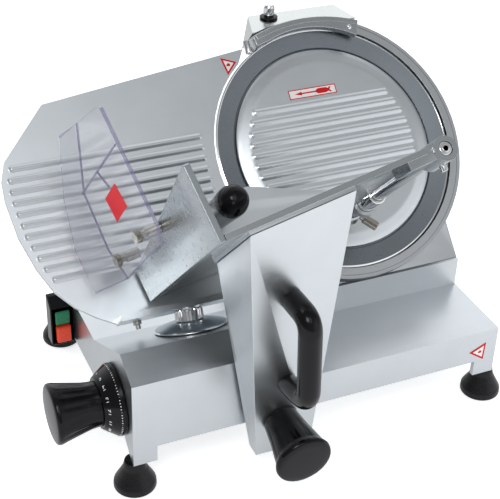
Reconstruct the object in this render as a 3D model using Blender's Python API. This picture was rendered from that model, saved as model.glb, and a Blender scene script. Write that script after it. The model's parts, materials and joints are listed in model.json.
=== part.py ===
"""Gravity-feed deli meat slicer with a 250 mm blade.

World frame: +X along the carriage travel, +Y from the operator's side to the back, +Z up, feet on Z = 0.
Lengths below are millimetres and become metres where a mesh is made (MM). Angles are degrees.
Every solid is made in the local frame of one of these empties:
  machine      the base, with its origin on the floor under the middle of the base's front edge
  blade_frame  X along the travel, Y up the slope of the cutting plane, Z out of that plane
  tray_frame   blade_frame turned about Z so that X lies in the tilted meat tray, origin at the end wall
  slope_frame  Z along the gauge post, Y down the back slope of the front ridge
  dial_frame   Z along the axis of the thickness knob, pointing away from the machine
"""
import math

import bmesh
import bpy
from mathutils import Matrix, Vector

MM = 0.001
GAP = 0.35  # clearance between pieces that touch

# ---- driving dimensions ----
MACHINE_X, MACHINE_Y, MACHINE_Z = 4.5, -101.9, 4.0  # puts the world origin under the middle of the machine
BLADE_RADIUS = 125.0
BLADE_CENTRE = (97.5, 173.9, 214.2)
CUTTING_TILT = 45.0  # slope of the cutting plane
TRAY_TILT = 11.0  # fall of the tray towards its end wall
BASE_LEFT, BASE_RIGHT, BASE_DEPTH = -180.0, 200.0, 290.0
LEFT_DEPTH = 258.0  # the base is less deep behind the ridge
RIM_Z, PLATFORM_Z, DECK_Z, LEFT_DECK_Z = 44.0, 80.0, 110.0, 91.92
PLATFORM_DEPTH = 83.0
RIDGE_END = -30.0  # the ridge fills the left part of the base's front
PLATFORM_LEFT = -36.0
RIDGE_FRONT_Z, RIDGE_TOP, VALLEY_Y = 118.0, (30.0, 133.0), 110.0
WALL = 5.0
LEG_Z, LEG_SIZE = 27.0, 23.0
FOOT_RADIUS, STUD_RADIUS = 20.0, 3.0
FOOT_INSET_X, FOOT_INSET_Y = 4.0, 9.5  # foot axes, inwards from the corners of the base
KNOB_AXIS = (43.0, 73.0)  # Y, Z of the thickness knob's axis
POST_X, POST_Y = -98.0, 69.0
TRAY_ORIGIN = (-125.8, -108.5)  # end wall's foot: machine X, and height up the slope from the blade
TRAY_WIDTH, TRAY_THICK = 190.0, 5.0
TRAY_NEAR, TRAY_FAR = 6.0, 235.0  # tray's extent out of the cutting plane
ROD_IN_TRAY = (207.3, -6.5)  # pusher rod's axis in tray_frame
ROD_RADIUS, SLEEVE_RADIUS = 6.0, 8.8
GAUGE_BOTTOM = -128.0  # lower edge of the gauge plate, down the slope from the blade's axis
COLLAR_RADIUS, COLLAR_TOP = 13.5, 19.5  # in slope_frame
SHARPENER_TOP = 308.3
CARRIAGE_ROD = (18.0, 56.0)  # Y, Z of the rod that carries the carriage
CARRIAGE_ROD_RADIUS = 7.0
MOTOR_AXIS = (58.0, -36.0)  # in blade_frame
MOTOR_RADIUS = 39.0
SPINDLE_PULLEY, MOTOR_PULLEY = 42.0, 21.0
RING_RADIUS = 137.0
DISC_RADIUS = 103.5
GAUGE_RING_GAP, BLADE_RING_GAP = 1.8, 1.2  # clearances round the blade

slope = math.atan2(RIDGE_TOP[1] - LEFT_DECK_Z, VALLEY_Y - RIDGE_TOP[0])
cut_tilt, tray_tilt = math.radians(CUTTING_TILT), math.radians(TRAY_TILT)

for old in list(bpy.data.objects):
    bpy.data.objects.remove(old, do_unlink=True)


# ---- materials ----
def material(name, colour, roughness, metallic=0.0, alpha=1.0):
    made = bpy.data.materials.new(name)
    made.use_nodes = True
    shader = made.node_tree.nodes["Principled BSDF"]
    shader.inputs["Base Color"].default_value = (*colour, 1.0)
    shader.inputs["Roughness"].default_value = roughness
    shader.inputs["Metallic"].default_value = metallic
    shader.inputs["Alpha"].default_value = alpha
    made.diffuse_color = (*colour, alpha)
    return made


ALUMINIUM = material("cast_aluminium", (0.78, 0.80, 0.82), 0.35, 1.0)
POLISHED = material("polished_aluminium", (0.86, 0.87, 0.88), 0.15, 1.0)
STEEL = material("blade_steel", (0.42, 0.46, 0.50), 0.25, 1.0)
CHROME = material("chrome", (0.90, 0.90, 0.90), 0.06, 1.0)
ZINC = material("zinc_steel", (0.60, 0.60, 0.58), 0.4, 1.0)
BLACK = material("black_plastic", (0.012, 0.012, 0.012), 0.18)
RUBBER = material("black_rubber", (0.02, 0.02, 0.02), 0.6)
CLEAR = material("clear_polycarbonate", (0.85, 0.86, 0.92), 0.05, 0.0, 0.3)
GREEN = material("green_plastic", (0.02, 0.30, 0.12), 0.3)
RED = material("red_plastic", (0.75, 0.06, 0.03), 0.3)
STONE = material("grinding_stone", (0.70, 0.68, 0.64), 0.9)
WHITE = material("pale_cover", (0.85, 0.86, 0.86), 0.3, 0.6)


# ---- frames ----
def empty(name, parent, matrix):
    frame = bpy.data.objects.new(name, None)
    bpy.context.scene.collection.objects.link(frame)
    frame.parent = parent
    frame.matrix_local = matrix
    return frame


def shift(x, y, z):
    return Matrix.Translation(Vector((x, y, z)) * MM)


def turn(angle, axis):
    return Matrix.Rotation(angle, 4, axis)


post_z = RIDGE_TOP[1] - (POST_Y - RIDGE_TOP[0]) * math.tan(slope)
BLADE_PLACE = shift(*BLADE_CENTRE) @ turn(math.pi / 2 - cut_tilt, "X")
TRAY_PLACE = shift(TRAY_ORIGIN[0] - BLADE_CENTRE[0], TRAY_ORIGIN[1], 0) @ turn(tray_tilt, "Z")
SLOPE_PLACE = shift(POST_X, POST_Y, post_z) @ turn(-slope, "X")

machine = empty("machine", None, shift(MACHINE_X, MACHINE_Y, MACHINE_Z))
blade_frame = empty("blade_frame", machine, BLADE_PLACE)
tray_frame = empty("tray_frame", blade_frame, TRAY_PLACE)
slope_frame = empty("slope_frame", machine, SLOPE_PLACE)
dial_frame = empty("dial_frame", machine, shift(BASE_LEFT, *KNOB_AXIS) @ turn(-math.pi / 2, "Y"))


def in_machine(place, x, y, z):
    """The point (x, y, z) of a frame placed at `place`, in the machine's frame."""
    return place @ (Vector((x, y, z)) * MM) / MM


def tray_to_machine(x, y, z):
    return in_machine(BLADE_PLACE @ TRAY_PLACE, x, y, z)


# ---- mesh makers ----
def finish(name, bm, parent, finish_material, local=None, smooth=40.0):
    bmesh.ops.scale(bm, vec=(MM, MM, MM), verts=bm.verts)
    bmesh.ops.recalc_face_normals(bm, faces=bm.faces)
    mesh = bpy.data.meshes.new(name)
    bm.to_mesh(mesh)
    bm.free()
    mesh.shade_smooth()
    mesh.set_sharp_from_angle(angle=math.radians(smooth))
    made = bpy.data.objects.new(name, mesh)
    bpy.context.scene.collection.objects.link(made)
    made.parent = parent
    if local is not None:
        made.matrix_local = local
    if finish_material is not None:
        mesh.materials.append(finish_material)
    return made


def prism(name, outline, low, high, parent, finish_material=None, axis="Z", local=None):
    """Extrude an outline. Axis Z takes (x, y) points, axis X takes (y, z) points."""
    def place(a, b, h):
        return (a, b, h) if axis == "Z" else (h, a, b)
    bm = bmesh.new()
    bottom = [bm.verts.new(place(a, b, low)) for a, b in outline]
    top = [bm.verts.new(place(a, b, high)) for a, b in outline]
    count = len(outline)
    bm.faces.new(bottom)
    bm.faces.new(top[::-1])
    for i in range(count):
        j = (i + 1) % count
        bm.faces.new((bottom[i], bottom[j], top[j], top[i]))
    return finish(name, bm, parent, finish_material, local)


def box(name, low, high, parent, finish_material=None, local=None):
    outline = [(low[0], low[1]), (high[0], low[1]), (high[0], high[1]), (low[0], high[1])]
    return prism(name, outline, low[2], high[2], parent, finish_material, "Z", local)


def lathe(name, profile, parent, finish_material=None, centre=(0, 0), local=None, sides=32):
    """Turn a closed (radius, height) profile about local Z through centre; radius 0 ends on the axis."""
    bm = bmesh.new()
    rings = []
    for radius, height in profile:
        if radius == 0:
            rings.append([bm.verts.new((centre[0], centre[1], height))])
            continue
        ring = []
        for i in range(sides):
            angle = 2 * math.pi * i / sides
            ring.append(bm.verts.new((centre[0] + radius * math.cos(angle),
                                      centre[1] + radius * math.sin(angle), height)))
        rings.append(ring)
    closed = profile[0][0] > 0
    pairs = list(zip(rings, rings[1:]))
    if closed:
        pairs.append((rings[-1], rings[0]))
    for lower, upper in pairs:
        for i in range(sides):
            j = (i + 1) % sides
            if len(lower) == 1 and len(upper) == 1:
                break
            if len(lower) == 1:
                bm.faces.new((lower[0], upper[j], upper[i]))
            elif len(upper) == 1:
                bm.faces.new((lower[i], lower[j], upper[0]))
            else:
                bm.faces.new((lower[i], lower[j], upper[j], upper[i]))
    return finish(name, bm, parent, finish_material, local)


def rod(name, radius, low, high, parent, finish_material=None, centre=(0, 0), local=None, sides=24):
    return lathe(name, [(0, low), (radius, low), (radius, high), (0, high)], parent, finish_material,
                 centre, local, sides)


def tube(name, inner, outer, low, high, parent, finish_material=None, centre=(0, 0), local=None, sides=32):
    return lathe(name, [(inner, low), (outer, low), (outer, high), (inner, high)], parent,
                 finish_material, centre, local, sides)


def hull_solid(name, points, parent, finish_material=None):
    bm = bmesh.new()
    for point in points:
        bm.verts.new(point)
    bmesh.ops.convex_hull(bm, input=bm.verts)
    return finish(name, bm, parent, finish_material)


def combine(target, other, operation):
    other.hide_render = True
    other.display_type = "WIRE"
    step = target.modifiers.new(other.name, "BOOLEAN")
    step.operation = operation
    step.solver = "EXACT"
    step.object = other
    return target


def cut(target, *tools):
    for tool in tools:
        combine(target, tool, "DIFFERENCE")


def join(target, *others):
    for other in others:
        combine(target, other, "UNION")


def arc(radius, start, end, steps, centre=(0, 0)):
    """Points on an arc, angles in degrees."""
    points = []
    for i in range(steps + 1):
        angle = math.radians(start + (end - start) * i / steps)
        points.append((centre[0] + radius * math.cos(angle), centre[1] + radius * math.sin(angle)))
    return points


def ridge_profile(inset):
    """Side profile (Y, Z) of the base's left part: front face, ridge, back slope and low deck."""
    front, back = inset, LEFT_DEPTH - inset
    bottom = RIM_Z if inset == 0 else RIM_Z - 10
    return [(front, bottom), (front, RIDGE_FRONT_Z - inset), (RIDGE_TOP[0], RIDGE_TOP[1] - 1.1 * inset),
            (VALLEY_Y, LEFT_DECK_Z - 1.1 * inset), (back, LEFT_DECK_Z - 1.1 * inset), (back, bottom)]


def platform_profile(inset):
    """Side profile (Y, Z) of the base's right part: low front platform, step and high deck."""
    front, back = inset, BASE_DEPTH - inset
    bottom = RIM_Z if inset == 0 else RIM_Z - 10
    return [(front, bottom), (front, PLATFORM_Z - inset), (PLATFORM_DEPTH + inset, PLATFORM_Z - inset),
            (PLATFORM_DEPTH + inset, DECK_Z - inset), (back, DECK_Z - inset), (back, bottom)]


# ---- base ----
def corner_box(name, corner, low, high):
    """A box measured inwards in X and Y from an outer corner of the base."""
    outer_x, outer_y, inward_x, inward_y = corner
    xs = sorted((outer_x + inward_x * low[0], outer_x + inward_x * high[0]))
    ys = sorted((outer_y + inward_y * low[1], outer_y + inward_y * high[1]))
    return box(name, (xs[0], ys[0], low[2]), (xs[1], ys[1], high[2]), machine)


def build_base():
    base = prism("base_casting", ridge_profile(0), BASE_LEFT, RIDGE_END, machine, ALUMINIUM, "X")
    join(base, prism("platform_body", platform_profile(0), PLATFORM_LEFT, BASE_RIGHT, machine, None, "X"))
    # the two hollows meet low down, where the carriage's rods pass
    cut(base,
        prism("ridge_hollow", ridge_profile(WALL), BASE_LEFT + WALL, RIDGE_END - WALL - 2, machine,
              None, "X"),
        prism("platform_hollow", platform_profile(WALL), PLATFORM_LEFT + WALL, BASE_RIGHT - WALL, machine,
              None, "X"),
        box("hollow_link", (PLATFORM_LEFT - 8, WALL + 0.6, RIM_Z - 12),
            (PLATFORM_LEFT + WALL + 4, LEFT_DEPTH - WALL - 0.6, PLATFORM_Z - WALL - 1), machine))
    corners = {"front_left": (BASE_LEFT, 0, 1, 1), "rear_left": (BASE_LEFT, LEFT_DEPTH, 1, -1),
               "front_right": (BASE_RIGHT, 0, -1, 1), "rear_right": (BASE_RIGHT, BASE_DEPTH, -1, -1)}
    foot = [(0, -MACHINE_Z), (FOOT_RADIUS - 1.5, -MACHINE_Z), (FOOT_RADIUS, 1.5 - MACHINE_Z),
            (FOOT_RADIUS - 0.4, 3), (15, 11), (11, 19), (9.3, LEG_Z - GAP), (STUD_RADIUS, LEG_Z - GAP),
            (STUD_RADIUS, RIM_Z - GAP), (0, RIM_Z - GAP)]
    for name, (outer_x, outer_y, inward_x, inward_y) in corners.items():
        x, y = outer_x + FOOT_INSET_X * inward_x, outer_y + FOOT_INSET_Y * inward_y
        side = [(outer_y + inward_y * b, z) for b, z in
                ((0.5, LEG_Z + 0.3), (0.5, RIM_Z + 3), (30, RIM_Z + 3), (26, RIM_Z + 0.2),
                 (WALL, LEG_Z + 0.3))]
        side_in = outer_x + inward_x * WALL
        join(base,
             corner_box(f"tab_{name}", corners[name], (0, 0, LEG_Z), (LEG_SIZE, WALL, RIM_Z + 4)),
             prism(f"side_{name}", side, min(outer_x, side_in), max(outer_x, side_in), machine, None, "X"),
             corner_box(f"lug_{name}", corners[name], (1, 1, RIM_Z),
                        (LEG_SIZE - 3, LEG_SIZE - 3, RIM_Z + 4.6)))
        cut(base, rod(f"stud_groove_{name}", STUD_RADIUS + GAP, LEG_Z - 5, RIM_Z - 0.01, machine, None,
                      (x, y), None, 16))
        lathe(f"foot_{name}", foot, machine, RUBBER, (x, y), None, 28)
    for x in (-38.0, 34.35):
        y_low, y_high = (x, -30.35) if x < 0 else (x, 42)
        join(base, box(f"guide_lug_{int(abs(x))}", (-3, y_low, -30), (11, y_high, -3), slope_frame))
    cut(base,
        box("motor_opening", (115.5, 170, DECK_Z - 12), (194.8, 284.5, DECK_Z + 4), machine),
        rod("shaft_hole", 6.5, -WALL - 2, 2, dial_frame),
        box("post_slot", (-8.5, -8.5, -14), (8.5, 22.5, 3), slope_frame))

    rear, left_rear = BASE_DEPTH - 6, LEFT_DEPTH - 6
    plate = [(-150, 88), (174, 88), (174, rear), (RIDGE_END, rear), (RIDGE_END, left_rear),
             (-150, left_rear)]
    prism("bottom_plate", plate, RIM_Z - 1.5, RIM_Z - GAP, machine, ZINC)


# ---- blade, its housing and its drive ----
BEARINGS = ((-28.0, -18.0), (-43.0, -33.0))
HOUSING_BACK = -72.0
PULLEY_SPAN = (-64.0, -50.0)
BOX_LEFT, BOX_RIGHT, BOX_TOP = -52.0, 102.5, 52.0


def ring_outline():
    """Front panel of the drive housing: straight up the right side, then round the blade."""
    right = math.degrees(math.acos(BOX_RIGHT / RING_RADIUS))
    return ([(BOX_LEFT, -150), (BOX_RIGHT, -150)] + arc(RING_RADIUS, -right, 115, 34)
            + [(-46, 70), (BOX_LEFT, 40)])


def build_housing():
    housing = prism("drive_housing", ring_outline(), -16, -11.5, blade_frame, ALUMINIUM)
    band = arc(RING_RADIUS, -110, 115, 44) + arc(BLADE_RADIUS + BLADE_RING_GAP, 115, -110, 44)
    walls = [(BOX_LEFT, -150), (BOX_RIGHT, -150), (BOX_RIGHT, BOX_TOP), (BOX_LEFT, BOX_TOP)]
    inner = [(BOX_LEFT + 4, -160), (BOX_RIGHT - 4, -160), (BOX_RIGHT - 4, BOX_TOP - 4),
             (BOX_LEFT + 4, BOX_TOP - 4)]
    join(housing,
         prism("blade_ring", band, -13, 2, blade_frame),
         prism("pulley_box", walls, HOUSING_BACK, -13, blade_frame))
    cut(housing, prism("pulley_space", inner, HOUSING_BACK - 5, -16, blade_frame))
    join(housing, tube("bearing_hub", 20, 26, -45, -13, blade_frame))
    cut(housing,
        rod("hub_bore", 20, -50, -5, blade_frame, None, (0, 0), None, 32),
        box("below_deck", (-60, -60, -40), (300, 330, DECK_Z + GAP), machine))

    back = [(BOX_LEFT, -72), (BOX_RIGHT, -72), (BOX_RIGHT, BOX_TOP), (BOX_LEFT, BOX_TOP)]
    cover = prism("belt_cover", back, HOUSING_BACK - 3, HOUSING_BACK - GAP, blade_frame, ALUMINIUM)
    cut(cover,
        rod("tie_rod_hole", 5, HOUSING_BACK - 8, HOUSING_BACK + 5, blade_frame),
        rod("motor_shaft_hole", 8, HOUSING_BACK - 8, HOUSING_BACK + 5, blade_frame, None, MOTOR_AXIS))


def build_blade():
    rim = BLADE_RADIUS
    lathe("blade", [(11.4, -8.5), (105, -8.5), (rim - 4, -4), (rim, -0.7), (rim, 0), (106, -2.5),
                    (105.4, -5.5), (11.4, -5.5)], blade_frame, STEEL, (0, 0), None, 96)
    lathe("blade_spindle", [(5.5, -70), (11, -70), (11, -49), (11.9, -48.6), (11.9, -11.1), (32, -11.1),
                            (32, -8.9), (11, -8.9), (11, -6), (5.5, -6)], blade_frame, ZINC)
    tube("driven_pulley", 11.4, SPINDLE_PULLEY, *PULLEY_SPAN, blade_frame, ALUMINIUM, (0, 0), None, 48)
    for name, span in zip(("bearing_front", "bearing_rear"), BEARINGS):
        tube(name, 12.2, 19.7, span[0], span[1], blade_frame, CHROME)
    disc = [(0, -4.6), (DISC_RADIUS - 2, -4.6), (DISC_RADIUS, -2.5), (DISC_RADIUS, -1.5), (89, 1.5), (0, 1.5)]
    lathe("cover_disc", disc, blade_frame, ALUMINIUM, (0, 0), None, 72)
    rod("cover_tie_rod", 4, -92, -5, blade_frame, ZINC, (0, 0), None, 16)
    knob = [(0, -92.4), (4.3, -92.4), (4.3, -79), (9, -79), (14, -84), (15, -90), (13, -100), (0, -101)]
    lathe("cover_knob", knob[::-1], blade_frame, BLACK)


def build_drive():
    low, high = PULLEY_SPAN
    rod("motor_shaft", 6, -100, -49, blade_frame, ZINC, MOTOR_AXIS)
    tube("motor_pulley", 6.3, MOTOR_PULLEY, low, high, blade_frame, ALUMINIUM, MOTOR_AXIS)
    motor = [(7, -76), (MOTOR_RADIUS - 4, -76), (MOTOR_RADIUS, -82), (MOTOR_RADIUS, -140),
             (MOTOR_RADIUS - 6, -148), (0, -148), (0, -102), (7, -102)]
    lathe("motor_housing", motor[::-1], blade_frame, ZINC, MOTOR_AXIS, None, 36)
    rod("capacitor", 14, 60, 104, machine, BLACK, (20, 215))

    distance = math.hypot(*MOTOR_AXIS)
    heading = math.degrees(math.atan2(MOTOR_AXIS[1], MOTOR_AXIS[0]))
    wrap = math.degrees(math.acos((SPINDLE_PULLEY - MOTOR_PULLEY) / distance))

    def loop(extra):
        big = arc(SPINDLE_PULLEY + extra, heading + wrap, heading + 360 - wrap, 26)
        small = arc(MOTOR_PULLEY + extra, heading - wrap, heading + wrap, 14, MOTOR_AXIS)
        return big + small
    belt = prism("drive_belt", loop(3.2), low + 2, high - 2, blade_frame, RUBBER)
    cut(belt, prism("belt_inside", loop(GAP), low, high, blade_frame))

    outer = [(178.6, DECK_Z + GAP), (BASE_DEPTH - 1, DECK_Z + GAP), (BASE_DEPTH - 1, 172), (264.5, 196.5)]
    shell = prism("rear_cover", outer, 112.8, BASE_RIGHT, machine, ALUMINIUM, "X")
    inner = [(150, DECK_Z - 5), (BASE_DEPTH - 4, DECK_Z - 5), (BASE_DEPTH - 4, 170.6), (262.0, 195),
             (248, 198), (160, 110)]
    cut(shell, prism("rear_cover_space", inner, 115.3, BASE_RIGHT - 2.5, machine, None, "X"))


# ---- switch ----
def build_switch():
    left, back = BASE_LEFT - 24, 192
    case = [(176, 44), (back, 44), (back, 97), (186, 97), (176, 88)]
    case_obj = prism("switch_box", case, left, BASE_LEFT - GAP, machine, BLACK, "X")
    cut(case_obj, box("switch_recess", (left + 2.5, 170, 47), (BASE_LEFT - 3, 187, 86), machine))
    box("start_button", (left + 4.5, 174, 68.6), (BASE_LEFT - 5, 183.5, 84), machine, GREEN)
    box("stop_button", (left + 4.5, 171, 49), (BASE_LEFT - 5, 183.5, 67.4), machine, RED)


# ---- thickness knob, cam and gauge plate ----
def build_index():
    lathe("dial_ring", [(6.4, 0.6), (34, 0.6), (34, 5), (24, 19), (6.4, 19)], dial_frame, BLACK, (0, 0),
          None, 48)
    lathe("thickness_knob", [(0, 19.3), (21, 19.3), (22, 30), (28.5, 58), (28, 61), (25, 62.5), (0, 63.5)],
          dial_frame, BLACK, (0, 0), None, 40)
    rod("index_shaft", 6, -21, 19, dial_frame, ZINC)
    tube("index_cam", 6.3, 20, -20, -10, dial_frame, ZINC)


def build_gauge():
    ring = BLADE_RADIUS + GAUGE_RING_GAP
    left = [(-69, 115), (-281, 90.5), (-327.5, 42), (-334, 24), (-335, 5), (-331, -31), (-322, -62),
            (-311, -86), (-296, -104), (-279, -117), (-262, -127), (-240, GAUGE_BOTTOM),
            (-54, GAUGE_BOTTOM)]
    start = math.degrees(math.atan2(math.sqrt(ring ** 2 - 54 ** 2), 54))
    end = math.degrees(math.atan2(115, -69))
    outline = left + arc(ring, start - 180, end - 360, 18)[:-1]
    plate = prism("gauge_plate", outline, -5, 0, blade_frame, ALUMINIUM)
    rim = []
    for i in range(24):
        angle = 2 * math.pi * i / 24
        for height in (COLLAR_TOP + GAP, COLLAR_TOP + 1.5):
            rim.append(in_machine(SLOPE_PLACE, COLLAR_RADIUS * math.cos(angle),
                                  COLLAR_RADIUS * math.sin(angle), height))
    middle = POST_X - BLADE_CENTRE[0]
    for u in (middle - 12, middle + 12):
        for out in (0.0, 19.0):
            rim.append(in_machine(BLADE_PLACE, u, GAUGE_BOTTOM + 4, out))
    lip_low, lip_high = GAUGE_BOTTOM - 0.6, GAUGE_BOTTOM + 5.4
    join(plate,
         box("gauge_lip", (-262, lip_low, -4.5), (-58, lip_high, 22), blade_frame),
         hull_solid("gauge_boss", rim, machine))
    cut(plate, rod("collar_clearance", COLLAR_RADIUS + GAP, 0, COLLAR_TOP + 0.3, slope_frame, None, (0, 0),
                   None, 32))

    lathe("gauge_saucer", [(7.3, 0.6), (33.5, 0.6), (34.3, 1.4), (33, 3), (18, 7.5), (7.3, 7.5)],
          slope_frame, ALUMINIUM, (0, 0), None, 36)
    tube("post_collar", 7.3, COLLAR_RADIUS, 7.85, COLLAR_TOP, slope_frame, CHROME)
    rod("gauge_post", 7, -18, COLLAR_TOP - 0.1, slope_frame, ZINC)
    block = box("gauge_slide", (-12, -12, -32), (12, 12, -18.3), slope_frame, ZINC)
    join(block, box("follower_arm", (-60.0, -9, -31), (-8, 1, -24), slope_frame))
    place = shift(4, 0, -25) @ turn(math.pi / 2, "X")
    cut(block, rod("guide_bore", 4.4, -20, 20, slope_frame, None, (0, 0), place))
    rod("gauge_guide_rod", 4, -34, 30, slope_frame, CHROME, (0, 0), place)


# ---- carriage ----
COLUMN_LEFT, COLUMN_RIGHT = -69.0, -14.0
GRIP_IN_TRAY = (64.5, 36.5)  # axis of the pusher's grip in tray_frame


def column_points(inset):
    """Corners of the carriage column, from its foot in front of the base up to the tray's underside."""
    left, right, front, back = COLUMN_LEFT + inset, COLUMN_RIGHT - inset, -22.0 + inset, -6.2
    low = 21.0 + inset
    behind = 0.0 if inset == 0 else 14.0
    under, out = -8.6 - inset, TRAY_FAR - 0.5 - 2.9 * inset
    return [(left, front, low), (right, front, low), (right, back + behind, low), (left, back + behind, low),
            tray_to_machine(19 + inset, under, out), tray_to_machine(118 - inset, under, out),
            tray_to_machine(118 - inset, under, 142 - 2 * behind),
            tray_to_machine(19 + inset, under, 142 - 2 * behind)]


def build_carriage():
    column = hull_solid("carriage_column", column_points(0), machine, ALUMINIUM)
    cut(column, hull_solid("column_hollow", column_points(5), machine))

    tray = box("meat_tray", (0.3, -TRAY_THICK, TRAY_NEAR), (TRAY_WIDTH, 0, TRAY_FAR), tray_frame, POLISHED)
    join(tray,
         box("tray_rib", (19, -8.2, 138), (118, -4, TRAY_FAR - 0.7), tray_frame),
         box("front_boss_arm", (170, -12, 204), (ROD_IN_TRAY[0] - 7.5, -0.9, TRAY_FAR - 1.4), tray_frame),
         rod("front_boss", 11, 203, TRAY_FAR - 0.3, tray_frame, None, ROD_IN_TRAY, None, 28),
         box("rear_boss_arm", (170, -12, 10), (ROD_IN_TRAY[0] - 7.5, -0.9, 24), tray_frame),
         rod("rear_boss", 11, 9, 25, tray_frame, None, ROD_IN_TRAY, None, 28))
    cut(tray, rod("rod_bore", ROD_RADIUS + 0.3, 5, 240, tray_frame, None, ROD_IN_TRAY, None, 26),
        rod("set_screw_bore", 3.3, -30, -8, tray_frame, None, (0, 0),
            shift(ROD_IN_TRAY[0], 0, 218) @ turn(-math.pi / 2, "X")))
    rod("pusher_rod", ROD_RADIUS, 10, TRAY_FAR - 0.4, tray_frame, CHROME, ROD_IN_TRAY, None, 28)
    rod("rod_set_screw", 3, 0, 9, tray_frame, CHROME, (0, 0),
        shift(ROD_IN_TRAY[0], ROD_IN_TRAY[1] - 12.8 + 6 - 9, 218) @ turn(-math.pi / 2, "X"), 12)

    wall = [(-5, TRAY_NEAR), (-5, TRAY_FAR), (60, TRAY_FAR), (61.5, TRAY_FAR - 2), (28, 14), (26, TRAY_NEAR)]
    prism("end_wall", wall, -6, 0, tray_frame, POLISHED, "X")

    build_guard()
    handle_path = [(-58, -40, 216), (-57.8, -72, 217), (-57.6, -83, 214), (-57.3, -89, 205),
                   (-53, -85.5, 150), (-52, -83.5, 139), (-51, -78, 130.5), (-49.3, -24, 110)]
    sweep("carriage_handle", handle_path, 10.2, machine, BLACK)
    # the ends of the handle stop on the column's front face
    cut(bpy.data.objects["carriage_handle"], hull_solid("column_seat", column_seat(), machine))

    block = box("slide_block", (COLUMN_LEFT + 7, 5 + 1.5, 42), (COLUMN_RIGHT - 7, 78, 66), machine, ZINC)
    join(block, box("under_arm", (COLUMN_LEFT + 7, -15.5, 28), (COLUMN_RIGHT - 7, 40, 41.5 + 2), machine),
         box("upright", (COLUMN_LEFT + 10, -15.5, 28), (COLUMN_RIGHT - 10, -2.5, 84), machine))
    cut(block,
        rod("rod_passage", CARRIAGE_ROD_RADIUS + 0.3, -80, 80, machine, None, (0, 0),
            shift(-40, *CARRIAGE_ROD) @ turn(math.pi / 2, "Y")),
        box("bar_slot", (-90, 64.7, 51.7), (10, 90, 64.3), machine),
        box("rim_gap", (-90, -2.5, 43.2), (10, 6.5, 70), machine))
    rod("carriage_rod", CARRIAGE_ROD_RADIUS, -174.6, 194.6, machine, CHROME, (0, 0),
        shift(0, *CARRIAGE_ROD) @ turn(math.pi / 2, "Y"), 28)
    box("support_bar", (-174.6, 65, 52), (194.6, 77, 64), machine, CHROME)


def column_seat():
    """The space behind the column's front face, grown by the gap, that the handle's ends stay out of."""
    front = [Vector(p) for p in (column_points(0)[0], column_points(0)[1], column_points(0)[5],
                                 column_points(0)[4])]
    forward = Vector((0, -GAP, 0))
    near = [point + forward for point in front]
    return near + [point + Vector((0, 40, 0)) for point in front]


def sweep(name, path, radius, parent, finish_material, sides=20):
    """A round bar along a path that lies in a plane of constant X."""
    bm = bmesh.new()
    points = [Vector(p) for p in path]
    rings = []
    for i, point in enumerate(points):
        ahead = points[min(i + 1, len(points) - 1)] - points[max(i - 1, 0)]
        ahead.normalize()
        side = Vector((1, 0, 0))
        up = ahead.cross(side)
        ring = []
        for k in range(sides):
            angle = 2 * math.pi * k / sides
            ring.append(bm.verts.new(point + radius * (math.cos(angle) * side + math.sin(angle) * up)))
        rings.append(ring)
    for lower, upper in zip(rings, rings[1:]):
        for k in range(sides):
            j = (k + 1) % sides
            bm.faces.new((lower[k], lower[j], upper[j], upper[k]))
    bm.faces.new(rings[0][::-1])
    bm.faces.new(rings[-1])
    return finish(name, bm, parent, finish_material)


def build_guard():
    """Clear hand guard: a flat sheet beside the end wall, folded outwards along its rear edges."""
    x = -22.0
    low_in, low_out = (x, 21, 27), (-51.5, 22, 13)
    mid_in, mid_out = (x, 54, 9), (-51.5, 65, 12)
    high_in, high_out = (x, 110, 15), (-41.3, 112.7, 14)
    top_in, top_out = (x, 156, 87), (-38.7, 152.8, 77.5)
    front = [(x, 147, 151), (x, 142, 166), (x, 35, 168), (x, 23, 157)]
    bm = bmesh.new()
    inner = [bm.verts.new(p) for p in (low_in, mid_in, high_in, top_in)]
    outer = [bm.verts.new(p) for p in (low_out, mid_out, high_out, top_out)]
    edge = [bm.verts.new(p) for p in front]
    bm.faces.new(inner + edge)
    for k in range(3):
        bm.faces.new((inner[k], outer[k], outer[k + 1], inner[k + 1]))
    bmesh.ops.recalc_face_normals(bm, faces=bm.faces)
    bmesh.ops.triangulate(bm, faces=bm.faces[1:])
    guard = finish("hand_guard", bm, tray_frame, CLEAR)
    thick = guard.modifiers.new("sheet", "SOLIDIFY")
    thick.thickness = 4 * MM
    thick.offset = 0
    thick.use_even_offset = True
    for name, height, out in (("front", 39.5, 123.5), ("rear", 38, 40)):
        place = shift(0, height, out) @ turn(-math.pi / 2, "Y")
        cut(guard, rod(f"guard_hole_{name}", 3.4, 10, 40, tray_frame, None, (0, 0), place, 16))
        screw = [(0, 6.3), (5, 6.3), (5, 19.2), (3, 19.2), (3, 24.8), (6, 24.8), (6, 30), (0, 30)]
        lathe(f"guard_screw_{name}", screw, tray_frame, CHROME, (0, 0), place, 16)


def build_lock_knob():
    tilt = math.radians(8)
    place = shift(-50, -31.8, 66) @ turn(math.pi / 2 + tilt, "X")
    profile = [(0, 0.6), (16.8, 0.6), (17.2, 4), (19.5, 20), (24, 42), (26.5, 47.5), (25, 51), (0, 52)]
    lathe("lock_knob", profile, machine, BLACK, (0, 0), place, 36)


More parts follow.
